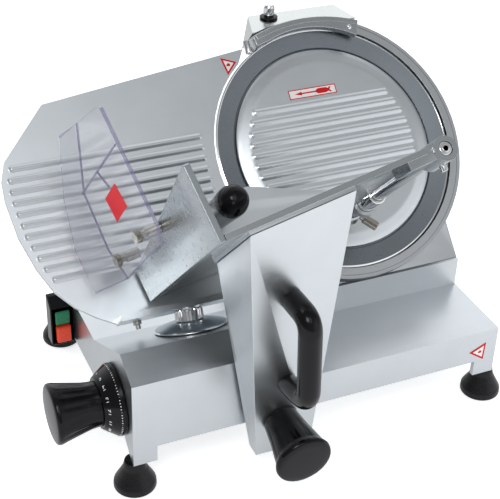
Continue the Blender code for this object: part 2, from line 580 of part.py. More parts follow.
# ---- pusher ----
def build_pusher():
    cx, cy = ROD_IN_TRAY
    lathe("pusher_sleeve", [(6.3, 28), (SLEEVE_RADIUS, 28), (SLEEVE_RADIUS, 95), (6.3, 95)], tray_frame,
          CHROME, ROD_IN_TRAY, None, 28)
    outline = [(12, 2.5), (12, 18), (44, 50), (52, 53), (106, 51), (173, 20), (194, 12),
               (cx - 6.1, cy + 9.3), (cx - 6.1, cy + 5.2), (188, 2.5)]
    plate = prism("pusher_plate", outline, 60, 66, tray_frame, ALUMINIUM)
    join(plate, rod("pusher_eye", 12.4, 59.1, 67.3, tray_frame, None, ROD_IN_TRAY, None, 30),
         rod("pusher_web", 5.6, 61.7, 80, tray_frame, None, (cx - 9.4, cy + 8.7), None, 18))
    cut(plate, rod("eye_bore", SLEEVE_RADIUS + GAP, 55, 90, tray_frame, None, ROD_IN_TRAY, None, 26),
        rod("grip_bore", 4.3, 55, 70, tray_frame, None, GRIP_IN_TRAY, None, 16))
    grip = [(0, 58.5), (4, 58.5), (4, 66.3), (12, 66.3), (12.5, 75), (14, 105), (14.6, 118), (13.5, 126),
            (10, 132), (5.3, 135.3), (0, 136.3)]
    lathe("pusher_grip", grip, tray_frame, BLACK, GRIP_IN_TRAY, None, 28)
    heading = math.atan2(-0.82, 0.57)
    place = shift(cx, cy, 35) @ turn(heading, "Z") @ turn(math.pi / 2, "Y")
    rod("pusher_screw", 4.6, SLEEVE_RADIUS + GAP, 28, tray_frame, CHROME, (0, 0), place, 18)


# ---- sharpener ----
def build_sharpener():
    hood = arc(161, 69, 111.9, 12, (0, -27.5)) + [(-58.5, 111)] + arc(105, 118, 58, 12, (-4, 18))[1:]
    prism("sharpener_hood", hood, 5, 13, blade_frame, ALUMINIUM)
    top = SHARPENER_TOP
    corners = [(41, 260, top), (54, 302, top), (152, 302, top), (158, 262, top), (41, 286, top - 29),
               (50, 303, top - 29), (152, 303, top - 29), (158, 286, top - 29)]
    cover = hull_solid("sharpener_cover", corners, machine, WHITE)
    cut(cover,
        rod("over_the_ring", RING_RADIUS + 1.5, -80, 40, blade_frame, None, (0, 0), None, 96),
        box("behind_hood", (-90, 90, 4.6), (90, 180, 60), blade_frame),
        box("stone_pocket", (-8, 120, -32), (34, 153, -24), blade_frame))
    for name, u in (("grinding_stone", 2), ("honing_stone", 22)):
        rod(name, 6, -31, -25, blade_frame, STONE, (u, 144.9), None, 20)
    rod("sharpener_post", 3.4, 107, 120.8, blade_frame, CHROME, (0, 0),
        shift(-65.5, 0, 4.6) @ turn(-math.pi / 2, "X"), 16)
    lathe("sharpener_knob", [(0, 0), (9.2, 0), (9.2, 2), (5.2, 2.4), (5.8, 5), (5.8, 12), (4.4, 14.4),
                             (0, 15)], machine, CHROME, (0, 0), shift(72.3, 290.5, top + GAP), 20)


build_base()
build_housing()
build_blade()
build_drive()
build_switch()
build_index()
build_gauge()
build_carriage()
build_lock_knob()
build_pusher()
build_sharpener()
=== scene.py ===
"""Looks of the deli meat slicer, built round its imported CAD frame.

Shapes are made in millimetres in the same local frames as the CAD source, then placed in the row frame:
  MACHINE      the base, origin on its underside plane below the middle of the front edge
  BLADE_PLANE  X along the carriage travel, Y up the slope of the cutting plane, Z out of that plane
  TRAY         the blade plane turned so that X lies in the tilted tray, origin at the end wall's foot
  SLOPE        Z along the gauge post, Y down the back slope of the front ridge
  DIAL         Z along the thickness knob's axis, pointing away from the machine
"""

import json
import math

import bmesh
import bpy
from mathutils import Matrix, Vector


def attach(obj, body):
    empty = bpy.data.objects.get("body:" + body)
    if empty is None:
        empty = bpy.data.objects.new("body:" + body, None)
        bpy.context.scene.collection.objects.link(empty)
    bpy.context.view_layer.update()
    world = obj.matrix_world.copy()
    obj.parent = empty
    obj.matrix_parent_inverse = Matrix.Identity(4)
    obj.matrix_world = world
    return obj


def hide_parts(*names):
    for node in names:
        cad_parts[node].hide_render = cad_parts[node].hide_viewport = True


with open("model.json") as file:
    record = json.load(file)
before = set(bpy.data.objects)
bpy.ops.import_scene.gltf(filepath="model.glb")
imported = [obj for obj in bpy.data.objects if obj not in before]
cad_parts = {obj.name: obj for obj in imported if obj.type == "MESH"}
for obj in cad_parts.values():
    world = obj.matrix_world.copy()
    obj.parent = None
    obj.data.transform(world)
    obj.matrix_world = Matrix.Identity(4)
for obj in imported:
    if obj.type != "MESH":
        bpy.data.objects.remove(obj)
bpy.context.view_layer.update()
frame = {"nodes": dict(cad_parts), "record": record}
BODY_OF = {node: body for body, nodes in frame["record"]["behaviour"]["bodies"].items() for node in nodes}
MM = 0.001


# ---- frames, as in the CAD source ----
def shift(x, y, z):
    return Matrix.Translation(Vector((x, y, z)) * MM)


def turn(degrees, axis):
    return Matrix.Rotation(math.radians(degrees), 4, axis)


SLOPE_ANGLE = math.degrees(math.atan2(38, 74))
MACHINE = shift(4.5, -101.9, 4.0)
BLADE_PLANE = MACHINE @ shift(97.5, 173.9, 214.2) @ turn(45, "X")
TRAY = BLADE_PLANE @ shift(-223.3, -108.5, 0) @ turn(11, "Z")
SLOPE = MACHINE @ shift(-98, 69, 133 - 39 * 38 / 74) @ turn(-SLOPE_ANGLE, "X")
DIAL = MACHINE @ shift(-180, 43, 73) @ turn(-90, "Y")
ROD_AXIS = (207.3, -6.5)  # pusher rod in TRAY
BLADE_RADIUS = 125.0


# ---- materials ----
def nodes_of(name):
    made = bpy.data.materials.new(name)
    made.use_nodes = True
    tree = made.node_tree
    return made, tree, tree.nodes["Principled BSDF"]


def noise_chain(tree, scale, detail=3.0, roughness=0.55):
    """Noise in the piece's own coordinates; scale is cycles per metre along X, Y and Z."""
    coordinates = tree.nodes.new("ShaderNodeTexCoord")
    mapping = tree.nodes.new("ShaderNodeMapping")
    mapping.inputs["Scale"].default_value = scale
    noise = tree.nodes.new("ShaderNodeTexNoise")
    noise.inputs["Scale"].default_value = 1.0
    noise.inputs["Detail"].default_value = detail
    noise.inputs["Roughness"].default_value = roughness
    tree.links.new(coordinates.outputs["Object"], mapping.inputs["Vector"])
    tree.links.new(mapping.outputs["Vector"], noise.inputs["Vector"])
    return noise.outputs["Fac"]


def spread(tree, source, low, high):
    """A noise value stretched to run from low to high."""
    ranged = tree.nodes.new("ShaderNodeMapRange")
    ranged.inputs["From Min"].default_value = 0.3
    ranged.inputs["From Max"].default_value = 0.7
    ranged.inputs["To Min"].default_value = low
    ranged.inputs["To Max"].default_value = high
    tree.links.new(source, ranged.inputs["Value"])
    return ranged.outputs["Result"]


def tint(tree, source, first, second):
    mix = tree.nodes.new("ShaderNodeMix")
    mix.data_type = "RGBA"
    tree.links.new(source, mix.inputs["Factor"])
    mix.inputs["A"].default_value = (*first, 1)
    mix.inputs["B"].default_value = (*second, 1)
    return mix.outputs["Result"]


def even(cycles):
    """The same grain along X, Y and Z, in cycles per metre."""
    return (cycles,) * 3


BRUSHED = (40, 220, 220)  # grain drawn out along X
FINE = even(500)
PATCHES = 18  # cycles per metre of the slow change of colour


def finish_of(name, slot, colour, roughness, metallic=0.0, vary=0.02, grain=FINE, bump=0.03, depth=0.02,
              shade=0.95, patch=PATCHES, specular=0.5, alpha=1.0):
    """A Principled finish: patchy colour, grained roughness and a fine bump of `depth` mm.

    Roughness runs `vary` either side of its mean, and colour from itself down to `shade` of itself.
    """
    made, tree, shader = nodes_of(name)
    shader.inputs["Metallic"].default_value = metallic
    shader.inputs["Specular IOR Level"].default_value = specular
    shader.inputs["Alpha"].default_value = alpha
    patches = spread(tree, noise_chain(tree, even(patch), 2.0), 0.0, 1.0)
    darker = tuple(c * shade for c in colour)
    tree.links.new(tint(tree, patches, darker, colour), shader.inputs["Base Color"])
    grains = noise_chain(tree, grain)
    smoothest = max(0.02, roughness - vary)
    tree.links.new(spread(tree, grains, smoothest, roughness + vary), shader.inputs["Roughness"])
    relief = tree.nodes.new("ShaderNodeBump")
    relief.inputs["Strength"].default_value = bump
    relief.inputs["Distance"].default_value = depth * MM
    tree.links.new(grains, relief.inputs["Height"])
    tree.links.new(relief.outputs["Normal"], shader.inputs["Normal"])
    made["slot"] = slot
    return made


SATIN = {"metallic": 1.0, "grain": BRUSHED, "bump": 0.02, "depth": 0.01}
SHEET = {"metallic": 1.0, "vary": 0.006, "grain": BRUSHED, "bump": 0.01, "depth": 0.005}
CLEAR = {"grain": even(60), "bump": 0.01, "depth": 0.01}
BUTTON = {"vary": 0.04, "grain": even(600), "bump": 0.1, "depth": 0.04, "shade": 0.85}

# one finish for each material slot
FINISH = {
    "cast_aluminium": finish_of("cast_aluminium_satin", "cast_aluminium", (0.64, 0.67, 0.695), 0.33, **SATIN),
    "polished_aluminium": finish_of("polished_sheet", "polished_aluminium", (0.76, 0.78, 0.79), 0.13,
                                    metallic=1.0, vary=0.015, grain=(900, 900, 300), depth=0.01),
    "blade_steel": finish_of("ground_blade", "blade_steel", (0.25, 0.275, 0.30), 0.30,
                             metallic=1.0, vary=0.03, bump=0.08, depth=0.03, shade=0.94),
    "chrome": finish_of("chrome_plate", "chrome", (0.80, 0.80, 0.81), 0.07,
                        metallic=1.0, grain=even(400), shade=0.96),
    "zinc_steel": finish_of("zinc_plate", "zinc_steel", (0.52, 0.52, 0.50), 0.38,
                            metallic=1.0, vary=0.05, bump=0.1, depth=0.05, shade=0.86),
    "black_plastic": finish_of("gloss_phenolic", "black_plastic", (0.005, 0.005, 0.006), 0.14,
                               grain=even(300), shade=0.7, specular=0.2),
    "black_rubber": finish_of("black_rubber_foot", "black_rubber", (0.010, 0.010, 0.011), 0.30,
                              vary=0.05, grain=even(900), bump=0.2, depth=0.05, shade=0.7, specular=0.25),
    "green_plastic": finish_of("green_button", "green_plastic", (0.012, 0.21, 0.095), 0.3, **BUTTON),
    "red_plastic": finish_of("red_button", "red_plastic", (0.78, 0.055, 0.016), 0.3, **BUTTON),
    "grinding_stone": finish_of("grinding_grit", "grinding_stone", (0.66, 0.64, 0.60), 0.85,
                                vary=0.08, grain=even(2500), bump=0.6, depth=0.15, shade=0.75, patch=400),
    "pale_cover": finish_of("pale_cover_satin", "pale_cover", (0.66, 0.69, 0.675), 0.26,
                            metallic=1.0, grain=BRUSHED, bump=0.04, shade=0.97),
    "clear_polycarbonate": finish_of("clear_sheet", "clear_polycarbonate", (0.50, 0.50, 0.58), 0.05,
                                     vary=0.01, alpha=0.17, **CLEAR),
}

# pieces that differ from the rest of their slot
RING_FACE = finish_of("ring_face_satin", "cast_aluminium", (0.58, 0.60, 0.62), 0.3, shade=0.93, **SATIN)
RING_RIM = finish_of("ring_rim_satin", "cast_aluminium", (0.26, 0.27, 0.29), 0.42, shade=0.93, **SATIN)
# the hood takes a darker copy of the cast aluminium: painted shade for the darker grey of its front band
HOOD_PAINTED_SHADE = finish_of("hood_satin_painted_shade", "cast_aluminium", (0.46, 0.48, 0.49), 0.27, shade=0.92, **SATIN)
SAUCER_GREY = finish_of("saucer_satin", "cast_aluminium", (0.36, 0.41, 0.45), 0.36,
                        metallic=0.9, vary=0.03, bump=0.05, depth=0.03)
WALL_SHEET = finish_of("end_wall_satin", "polished_aluminium", (0.38, 0.41, 0.43), 0.27, shade=0.97, **SHEET)
TRAY_SHEET = finish_of("tray_satin", "polished_aluminium", (0.50, 0.53, 0.545), 0.2, shade=0.96, **SHEET)
GUARD_EDGE = finish_of("clear_sheet_edge", "clear_polycarbonate", (0.20, 0.17, 0.34), 0.08,
                       shade=0.9, alpha=0.6, **CLEAR)
EDGE_BRIGHT = finish_of("polished_edge", "blade_steel", (0.90, 0.91, 0.92), 0.12, metallic=1.0, shade=0.97)
NICKEL = finish_of("nickel_knurl", "chrome", (0.40, 0.385, 0.34), 0.2,
                   metallic=1.0, vary=0.04, bump=0.08, depth=0.04, shade=0.85)

# print and labels, which no CAD slot stands for
PRINT_WHITE = finish_of("print_white", "", (0.82, 0.82, 0.80), 0.4, vary=0.04)
PRINT_TICK = finish_of("print_tick", "", (0.88, 0.88, 0.86), 0.4, vary=0.04, shade=0.9)
PRINT_RED = finish_of("print_red", "", (0.62, 0.012, 0.016), 0.4, vary=0.04, shade=0.85, specular=0.15)
LABEL_RED = finish_of("label_red", "", (0.70, 0.014, 0.022), 0.45, vary=0.04, shade=0.85, specular=0.08)


# ---- pieces ----
def piece(name, bm, place, finish, nodes=(), body=None, smooth=35.0, extra=()):
    """A mesh in millimetres becomes an object at `place` that rides on a body and stands for CAD nodes."""
    bmesh.ops.scale(bm, vec=(MM, MM, MM), verts=bm.verts)
    mesh = bpy.data.meshes.new(name)
    bm.to_mesh(mesh)
    bm.free()
    mesh.shade_smooth()
    mesh.set_sharp_from_angle(angle=math.radians(smooth))
    for made in (finish, *extra):
        mesh.materials.append(made)
    made = bpy.data.objects.new(name, mesh)
    bpy.context.scene.collection.objects.link(made)
    made.matrix_world = place
    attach(made, body or BODY_OF[nodes[0]])
    if nodes:
        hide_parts(*nodes)
    return made


def bevelled(made, width, segments=2, angle=30.0):
    """Round the piece's edges by `width` mm."""
    step = made.modifiers.new("rounded_edges", "BEVEL")
    step.width = width * MM
    step.segments = segments
    step.limit_method = "ANGLE"
    step.angle_limit = math.radians(angle)
    step.harden_normals = True
    return made


def skin(node, finish, width=0.0, segments=2, smooth=35.0, place=None, nodes=None, angle=30.0):
    """The CAD node's own shape with its faces made whole and its edges rounded."""
    place = place or MACHINE
    bm = bmesh.new()
    bm.from_mesh(frame["nodes"][node].data)
    bmesh.ops.remove_doubles(bm, verts=bm.verts, dist=0.02 * MM)
    bmesh.ops.transform(bm, matrix=place.inverted(), verts=bm.verts)
    bmesh.ops.scale(bm, vec=(1000, 1000, 1000), verts=bm.verts)
    bmesh.ops.dissolve_limit(bm, angle_limit=math.radians(1.0), verts=bm.verts, edges=bm.edges)
    made = piece(f"{node}_skin", bm, place, finish, nodes or (node,), None, smooth)
    return bevelled(made, width, segments, angle) if width else made


def on_circle(centre, radius, angle):
    return centre[0] + radius * math.cos(angle), centre[1] + radius * math.sin(angle)


def flute_depth(flutes, angle, height):
    """How far the scallops of (count, depth, low, high) bite into the side at one point."""
    count, depth, low, high = flutes
    if not low < height < high:
        return 0.0
    share = (height - low) / (high - low)
    return depth * math.sin(math.pi * share) * (0.5 - 0.5 * math.cos(count * angle)) ** 3


def lathe_mesh(profile, sides=64, centre=(0, 0), flutes=None):
    """Turn (radius, height) points about Z; flutes = (count, depth, low, high) scallops the side."""
    bm = bmesh.new()
    rings = []
    for radius, height in profile:
        if radius == 0:
            rings.append([bm.verts.new((*centre, height))])
            continue
        ring = []
        for i in range(sides):
            angle = 2 * math.pi * i / sides
            bite = flute_depth(flutes, angle, height) if flutes else 0.0
            ring.append(bm.verts.new((*on_circle(centre, radius - bite, angle), height)))
        rings.append(ring)
    pairs = list(zip(rings, rings[1:]))
    if profile[0][0] > 0:
        pairs.append((rings[-1], rings[0]))
    for lower, upper in pairs:
        for i in range(sides):
            j = (i + 1) % sides
            if len(lower) == 1:
                bm.faces.new((lower[0], upper[j], upper[i]))
            elif len(upper) == 1:
                bm.faces.new((lower[i], lower[j], upper[0]))
            else:
                bm.faces.new((lower[i], lower[j], upper[j], upper[i]))
    bmesh.ops.recalc_face_normals(bm, faces=bm.faces)
    return bm


def softened(profile, radius=0.6, steps=3):
    """The same profile with each inner corner rounded, within 0.45 of the sides that meet there."""
    out = [profile[0]]
    for before, here, after in zip(profile, profile[1:], profile[2:]):
        a, b, c = Vector(before), Vector(here), Vector(after)
        reach = min(radius, (a - b).length * 0.45, (c - b).length * 0.45)
        start, end = b + (a - b).normalized() * reach, b + (c - b).normalized() * reach
        for k in range(steps + 1):
            t = k / steps
            out.append(tuple(start * (1 - t) ** 2 + b * 2 * t * (1 - t) + end * t ** 2))
    return out + [profile[-1]]


def lathe(name, profile, place, finish, nodes=(), body=None, sides=64, centre=(0, 0), flutes=None,
          smooth=35.0):
    return piece(name, lathe_mesh(profile, sides, centre, flutes), place, finish, nodes, body, smooth)


def loft(bm, rings, ring_round=False):
    """Faces along a row of equal rings: capped at both ends, or with the last ring joined to the first."""
    made = [] if ring_round else [bm.faces.new(rings[0]), bm.faces.new(rings[-1][::-1])]
    for lower, upper in zip(rings, rings[1:] + (rings[:1] if ring_round else [])):
        for k in range(len(lower)):
            j = (k + 1) % len(lower)
            made.append(bm.faces.new((lower[k], lower[j], upper[j], upper[k])))
    bmesh.ops.recalc_face_normals(bm, faces=made)
    return bm


def prism_mesh(outline, low, high, bm=None):
    """The outline's plate between two heights, in a mesh of its own or in `bm`."""
    bm = bm or bmesh.new()
    bottom = [bm.verts.new((x, y, low)) for x, y in outline]
    top = [bm.verts.new((x, y, high)) for x, y in outline]
    made = [bm.faces.new(bottom), bm.faces.new(top[::-1])]
    for i in range(len(outline)):
        j = (i + 1) % len(outline)
        made.append(bm.faces.new((bottom[i], bottom[j], top[j], top[i])))
    bmesh.ops.recalc_face_normals(bm, faces=made)
    return bm


def arc(radius, start, end, steps, centre=(0, 0)):
    """Points from the start to the end angle, in degrees."""
    angles = [math.radians(start + (end - start) * i / steps) for i in range(steps + 1)]
    return [on_circle(centre, radius, angle) for angle in angles]


def tube_mesh(path, radius, sides=32, bm=None, side_axis=(1, 0, 0)):
    """A round bar along a path; side_axis is roughly square to it all the way."""
    bm = bm or bmesh.new()
    points = [Vector(p) for p in path]
    rings = []
    for i, point in enumerate(points):
        ahead = (points[min(i + 1, len(points) - 1)] - points[max(i - 1, 0)]).normalized()
        up = ahead.cross(Vector(side_axis)).normalized()
        side = up.cross(ahead)
        rings.append([bm.verts.new(point + radius * (math.cos(a) * side + math.sin(a) * up))
                      for a in (2 * math.pi * k / sides for k in range(sides))])
    return loft(bm, rings)


def filleted(corners, radius, steps=10):
    """A path through the corners with each inner one rounded off `radius` mm before and after it."""
    points = [Vector(corners[0])]
    for before, here, after in zip(corners, corners[1:], corners[2:]):
        a, b, c = Vector(before), Vector(here), Vector(after)
        start, end = b + (a - b).normalized() * radius, b + (c - b).normalized() * radius
        for k in range(steps + 1):
            t = k / steps
            points.append(start * (1 - t) ** 2 + b * 2 * t * (1 - t) + end * t ** 2)
    return points + [Vector(corners[-1])]


# ---- raised ribs on the gauge plate and the blade's cover ----
RIB_PITCH, RIB_HEIGHT = 10.9, 1.7
GAUGE_RIBS, GAUGE_TOP_RIB, GAUGE_RIBS_RIGHT = 11, 34.0, -134.0
GAUGE_RIB_STEP = 0.3  # each rib down ends this much further left
DISC_RIBS, DISC_TOP_RIB, DISC_RIB_REACH = 9, 47.0, (92.0, 88.5)


def rib(bm, left, right, y, floor, half_width, height, steps=8, cap=10):
    """A bar along X with a soft wave for its section and rounded ends."""
    rings = []
    for k in range(steps + 1):
        share = 1 - k / steps
        reach, rise = max(half_width * share, 0.02), height * (0.5 + 0.5 * math.cos(math.pi * share))
        outline = (arc(reach, -90, 90, cap, (right - half_width, y))
                   + arc(reach, 90, 270, cap, (left + half_width, y)))
        rings.append([bm.verts.new((px, py, floor + rise)) for px, py in outline])
    loft(bm, rings)


GAUGE_EDGE = ((-327.5, 42), (-334, 24), (-335, 5), (-331, -31), (-322, -62), (-311, -86))


def gauge_left(s):
    """X of the gauge plate's left edge at height s up the slope."""
    for (xa, ya), (xb, yb) in zip(GAUGE_EDGE, GAUGE_EDGE[1:]):
        if yb <= s <= ya:
            return xa + (xb - xa) * (s - ya) / (yb - ya)
    return GAUGE_EDGE[-1][0]


def build_gauge():
    skin("gauge_plate", FINISH["cast_aluminium"], 1.0, 3, 40, BLADE_PLANE)
    ribs = bmesh.new()
    for k in range(GAUGE_RIBS):
        s = GAUGE_TOP_RIB - RIB_PITCH * k
        rib(ribs, gauge_left(s) + 4.0, GAUGE_RIBS_RIGHT - GAUGE_RIB_STEP * k, s, -0.15, 4.3, RIB_HEIGHT)
    piece("gauge_ribs", ribs, BLADE_PLANE, FINISH["cast_aluminium"], (), "gauge", 60)
    stud = softened([(0, 0), (4.0, 0), (4.0, 3.2), (2.4, 3.4), (2.4, 7.5), (0, 7.5)], 0.3)
    lathe("gauge_stop_stud", stud, BLADE_PLANE @ shift(-243, -128.2, -2.6) @ turn(90, "X"),
          FINISH["zinc_steel"], (), "gauge", 24)

    saucer = [(7.3, 0.6), (33.2, 0.6), (34.2, 1.1), (34.3, 1.8), (33.4, 2.9), (30, 4.0), (25, 5.6), (20, 6.8),
              (16, 7.5), (7.3, 7.5)]
    lathe("gauge_saucer_turned", saucer, SLOPE, SAUCER_GREY, ("gauge_saucer",), None, 96)
    rim = softened([(33.0, 0.9), (34.55, 0.9), (34.75, 1.7), (33.4, 2.7), (33.0, 2.6)], 0.2)
    lathe("gauge_saucer_rim", rim, SLOPE, FINISH["polished_aluminium"], (), "gauge", 96)
    collar = [(7.3, 7.85), (12.4, 7.85), (13.5, 9.0), (13.5, 18.3), (12.6, 19.5), (7.3, 19.5)]
    knurled("post_collar_knurled", collar, SLOPE, FINISH["chrome"], ("post_collar",), 30, 0.9, (8.4, 18.9))


def knurled(name, profile, place, finish, nodes, count, depth, span, body=None, centre=(0, 0)):
    """A turned piece with straight knurling: V grooves between two heights."""
    sides = count * 4
    bm = bmesh.new()
    rings = []
    for radius, height in profile:
        groove = depth if span[0] < height < span[1] else 0
        rings.append([bm.verts.new((*on_circle(centre, radius - (0 if i % 4 else groove),
                                               2 * math.pi * i / sides), height))
                      for i in range(sides)])
    return piece(name, loft(bm, rings, True), place, finish, nodes, body, 25)


# ---- base, feet and the parts on it ----
FEET = {"foot_front_left": (-176.0, 9.5), "foot_front_right": (196.0, 9.5),
        "foot_rear_left": (-176.0, 248.5), "foot_rear_right": (196.0, 280.5)}


def build_base():
    skin("base_casting", FINISH["cast_aluminium"], 1.1, 3, 35, MACHINE)
    foot = softened([(0, -4), (18.5, -4), (20, -2.5), (19.6, 3), (15, 11), (11, 19), (9.3, 26.6), (3, 26.6),
                     (3, 43.6), (0, 43.6)], 1.2)
    for name, centre in FEET.items():
        lathe(f"{name}_moulded", foot, MACHINE, FINISH["black_rubber"], (name,), None, 56, centre)
    skin("bottom_plate", FINISH["zinc_steel"], 0.3, 1)


def build_housing():
    skin("drive_housing", RING_FACE, 0.9, 2, 35, BLADE_PLANE)
    skin("belt_cover", FINISH["cast_aluminium"], 0.8, 2, 35, BLADE_PLANE)
    ring_rim()
    skin("rear_cover", FINISH["cast_aluminium"], 1.2, 3, 35, MACHINE)


def ring_rim():
    """The ring's turned outer edge: a bevel that falls away from the blade."""
    section = ((133.0, 1.2), (133.0, 2.15), (134.2, 1.9), (136.2, 0.4), (137.3, -2.2), (137.3, -12.6),
               (136.4, -12.6))
    bm = bmesh.new()
    rings = []
    for x, y in arc(1.0, -104, 114, 110):
        rings.append([bm.verts.new((x * radius, y * radius, out)) for radius, out in section])
    piece("ring_rim", loft(bm, rings), BLADE_PLANE, RING_RIM, (), "base", 30)


def build_blade():
    rim = BLADE_RADIUS
    blade = [(11.4, -8.5), (105, -8.5), (rim - 4, -4), (rim, -0.9), (rim, -0.45), (rim - 1.3, 0.0),
             (115, -1.2), (106, -2.5), (105.4, -3.2), (105.4, -5.5), (11.4, -5.5)]
    lathe("blade_ground", blade, BLADE_PLANE, FINISH["blade_steel"], ("blade",), None, 192, smooth=12)
    edge = [(rim - 1.9, -0.1), (rim - 1.4, 0.12), (rim - 0.1, -0.3), (rim + 0.1, -0.6), (rim - 1.0, -0.9)]
    lathe("blade_cutting_edge", edge, BLADE_PLANE, EDGE_BRIGHT, (), "blade", 192)
    disc = [(0, -4.6), (101.5, -4.6), (103.5, -2.6), (103.5, -1.9), (103.0, -1.4), (98, -0.2), (93, 0.95),
            (91.5, 1.3), (90, 1.46), (88, 1.5), (60, 1.5), (30, 1.5), (0, 1.5)]
    lathe("cover_disc_turned", disc, BLADE_PLANE, FINISH["cast_aluminium"], ("cover_disc",), None, 160)
    ribs = bmesh.new()
    for k in range(DISC_RIBS):
        s = DISC_TOP_RIB - RIB_PITCH * k
        left, right = (math.sqrt(reach ** 2 - s * s) for reach in DISC_RIB_REACH)
        rib(ribs, -left, right, s, 1.35, 4.9, RIB_HEIGHT)
    piece("cover_disc_ribs", ribs, BLADE_PLANE, FINISH["cast_aluminium"], (), BODY_OF["cover_disc"], 60)
    arrow_plate(BLADE_PLANE @ shift(-8.8, 58.7, 1.5), BODY_OF["cover_disc"])
    knob = softened([(4.3, -92.4), (4.3, -79), (9, -79), (14, -84), (15, -90), (13, -100), (0, -101)], 1.2)
    lathe("cover_knob_moulded", [(0, -92.4)] + knob, BLADE_PLANE, FINISH["black_plastic"], ("cover_knob",),
          sides=72, flutes=(10, 1.2, -99, -82))


def arrow_plate(place, body):
    """Direction plate: white with a red border and a red arrow pointing left."""
    half_x, half_y, border = 26.2, 4.9, 0.9
    in_x, in_y = half_x - border, half_y - border

    def oblong(low, high):
        return [low, (high[0], low[1]), high, (low[0], high[1])]
    field = prism_mesh(oblong((-half_x, -half_y), (half_x, half_y)), -0.3, 0.5)
    piece("arrow_plate", field, place, PRINT_WHITE, (), body)
    red = bmesh.new()
    for low, high in (((-half_x, -half_y), (half_x, -in_y)), ((-half_x, in_y), (half_x, half_y)),
                      ((-half_x, -in_y), (-in_x, in_y)), ((in_x, -in_y), (half_x, in_y))):
        prism_mesh(oblong(low, high), 0.4, 0.62, red)
    arrow = [(-20, 0), (-12, 1.9), (-12, 0.7), (3, 0.7), (6, 2.7), (15, 2.7), (17.5, 1.4), (19, 2.7),
             (21, 2.7), (19, 0), (21, -2.7), (19, -2.7), (17.5, -1.4), (15, -2.7), (6, -2.7), (3, -0.7),
             (-12, -0.7), (-12, -1.9)]
    prism_mesh(arrow, 0.4, 0.62, red)
    piece("arrow_plate_print", red, place, PRINT_RED, (), body)


def triangle_sign(name, corners, place, body):
    """A small generic triangular sign: red rim, pale field, red mark."""
    middle = sum((Vector(c) for c in corners), Vector((0, 0))) / 3

    def scaled(share):
        return [tuple(middle + (Vector(c) - middle) * share) for c in corners]
    red = prism_mesh(scaled(1.0), -0.3, 0.30)
    piece(name, red, place, PRINT_RED, (), body)
    piece(f"{name}_field", prism_mesh(scaled(0.66), 0.1, 0.45), place, PRINT_WHITE, (), body)
    blob = ((-2.2, -1.1), (1.6, -1.5), (2.3, 0.5), (0.4, 1.9), (-1.3, 1.0))
    mark = [(middle.x + dx, middle.y + dy) for dx, dy in blob]
    piece(f"{name}_mark", prism_mesh(mark, 0.3, 0.55), place, PRINT_RED, (), body)


def build_signs():
    triangle_sign("gauge_sign", ((-95.0, 109.0), (-79.5, 102.6), (-91.5, 90.5)), BLADE_PLANE, "gauge")
    triangle_sign("base_sign", ((169.5, 57.0), (187.5, 65.5), (186.5, 45.0)), MACHINE @ turn(90, "X"), "base")


# ---- dial, knobs, switch ----
DIAL_MARKS, MARKS_PER_NUMBER = 75, 5
DIAL_LEAN = math.atan2(14, 10)  # of the dial's cone, out from its axis


def build_dial():
    ring = softened([(6.4, 0.6), (33.2, 0.6), (34, 1.4), (34, 5), (24, 19), (6.4, 19)], 0.7)
    lathe("dial_ring_turned", ring, DIAL, FINISH["black_plastic"], ("dial_ring",), None, 96)
    knob = softened([(21, 19.3), (21.2, 24), (22, 30), (24.5, 41), (27, 52), (28.5, 58), (28, 61),
                     (25.5, 62.3), (20, 62.7), (0, 63.5)], 1.0)
    lathe("thickness_knob_moulded", [(0, 19.3)] + knob, DIAL, FINISH["black_plastic"], ("thickness_knob",),
          sides=120, flutes=(12, 1.0, 22, 61))
    ticks = bmesh.new()
    for i in range(DIAL_MARKS):
        start, length = (33.7, 3.6) if i % MARKS_PER_NUMBER else (33.4, 5.6)
        at = (Matrix.Rotation(2 * math.pi * i / DIAL_MARKS, 4, "Z") @ Matrix.Translation((start, 0, 5.4))
              @ Matrix.Rotation(math.pi / 2 - DIAL_LEAN, 4, "Y"))
        box_into(ticks, at, (-length, -0.38, -0.35), (0, 0.38, 0.35))
    piece("dial_ticks", ticks, DIAL, PRINT_TICK, (), "dial")
    numbers = DIAL_MARKS // MARKS_PER_NUMBER
    for number in range(numbers):
        dial_number(number, 2 * math.pi * number / numbers)


def box_into(bm, at, low, high):
    """A box between two corners, placed by the matrix `at` in the mesh's own millimetres."""
    corners = [at @ Vector((x, y, z)) for z in (low[2], high[2]) for x, y in
               ((low[0], low[1]), (high[0], low[1]), (high[0], high[1]), (low[0], high[1]))]
    v = [bm.verts.new(c) for c in corners]
    for face in ((0, 3, 2, 1), (4, 5, 6, 7), (0, 1, 5, 4), (1, 2, 6, 5), (2, 3, 7, 6), (3, 0, 4, 7)):
        bm.faces.new([v[k] for k in face])


def dial_number(number, angle):
    """A small white numeral on the cone of the dial ring."""
    text = bpy.data.curves.new(f"numeral_{number}", "FONT")
    text.body = str(number)
    text.size, text.extrude = 6.4 * MM, 0.12 * MM
    text.align_x, text.align_y = "CENTER", "CENTER"
    made = bpy.data.objects.new(f"dial_numeral_{number}", text)
    bpy.context.scene.collection.objects.link(made)
    text.materials.append(PRINT_TICK)
    radial = Matrix.Rotation(angle, 4, "Z") @ shift(26.6, 0, 15.45)
    made.matrix_world = DIAL @ radial @ Matrix.Rotation(math.pi / 2 - DIAL_LEAN, 4, "Y") @ turn(90, "Z")
    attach(made, "dial")


